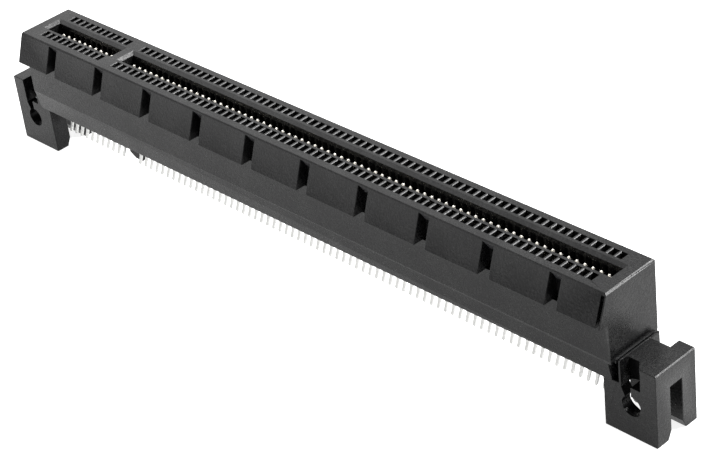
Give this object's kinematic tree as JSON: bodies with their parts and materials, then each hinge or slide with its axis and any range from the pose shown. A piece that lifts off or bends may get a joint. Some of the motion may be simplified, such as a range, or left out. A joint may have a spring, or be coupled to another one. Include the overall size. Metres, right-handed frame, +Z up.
{
  "type": "card edge connector",
  "caption": "Long straddle-mount card edge connector: keyed card slot between two rows of spring contacts, ears that grip the edge of a board, ramped front.",
  "frame": {"origin": "on the level of the ears' feet, midway along the connector, in the middle plane of the board slot and card slot", "axes": "+X along the connector, away from the key's end; +Y towards the plain back, the ramped front is -Y; +Z up, the way a card leaves"},
  "size_m": [0.0984, 0.0083, 0.0162],
  "materials": {
    "housing": "fine matte moulded, glass-filled",
    "contacts": "thin gold plating, dulled tails"
  },
  "bodies": {
    "root": {"housing": "housing", "front_contacts_1_to_11": "contacts", "front_contacts_12_to_18": "contacts", "front_contacts_19_to_32": "contacts", "front_contacts_33_to_49": "contacts", "front_contacts_50_to_82": "contacts", "back_contacts_1_to_11": "contacts", "back_contacts_12_to_18": "contacts", "back_contacts_19_to_32": "contacts", "back_contacts_33_to_49": "contacts", "back_contacts_50_to_82": "contacts"}
  },
  "joints": []
}
